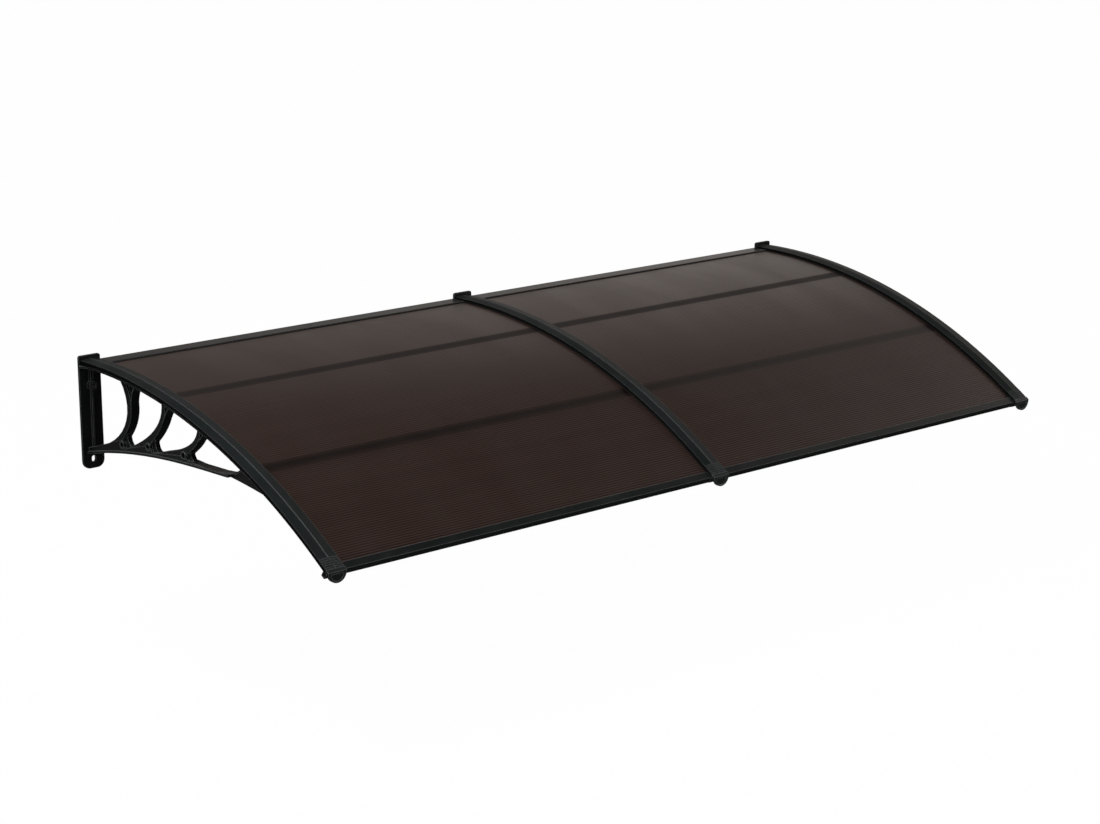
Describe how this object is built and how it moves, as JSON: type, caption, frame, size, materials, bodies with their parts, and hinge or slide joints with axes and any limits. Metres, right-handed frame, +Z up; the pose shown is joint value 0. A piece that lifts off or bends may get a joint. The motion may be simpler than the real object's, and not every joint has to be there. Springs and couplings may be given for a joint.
{
  "type": "door canopy",
  "caption": "Arched door canopy: translucent bent sheets held by ridged cover strips on moulded wall brackets with crescent struts, made to keep rain off a doorway.",
  "frame": {"origin": "middle of the centre bracket's wall face", "axes": "+X along the wall, +Y into the wall, +Z up"},
  "size_m": [2.4, 1.018, 0.3335],
  "materials": {
    "black_plastic": "satin moulded black",
    "strip_plastic": "glossy moulded black",
    "brown_sheet": "translucent brown twin-wall sheet",
    "dark_bar": "dark satin coating",
    "black_rubber": "matt black"
  },
  "bodies": {
    "root": {"bracket_left": "black_plastic", "cover_strip_left": "strip_plastic", "nose_cap_left": "black_plastic", "bracket_middle": "black_plastic", "cover_strip_middle": "strip_plastic", "nose_cap_middle": "black_plastic", "bracket_right": "black_plastic", "cover_strip_right": "strip_plastic", "nose_cap_right": "black_plastic", "strip_seal_left": "black_rubber", "strip_seal_middle_left": "black_rubber", "strip_seal_middle_right": "black_rubber", "strip_seal_right": "black_rubber", "sheet_left": "brown_sheet", "rear_bar_left": "dark_bar", "rear_bead_left": "black_rubber", "front_bar_left": "dark_bar", "cross_bar_left_1": "dark_bar", "cross_bar_left_2": "dark_bar", "sheet_right": "brown_sheet", "rear_bar_right": "dark_bar", "rear_bead_right": "black_rubber", "front_bar_right": "dark_bar", "cross_bar_right_1": "dark_bar", "cross_bar_right_2": "dark_bar"}
  },
  "joints": []
}
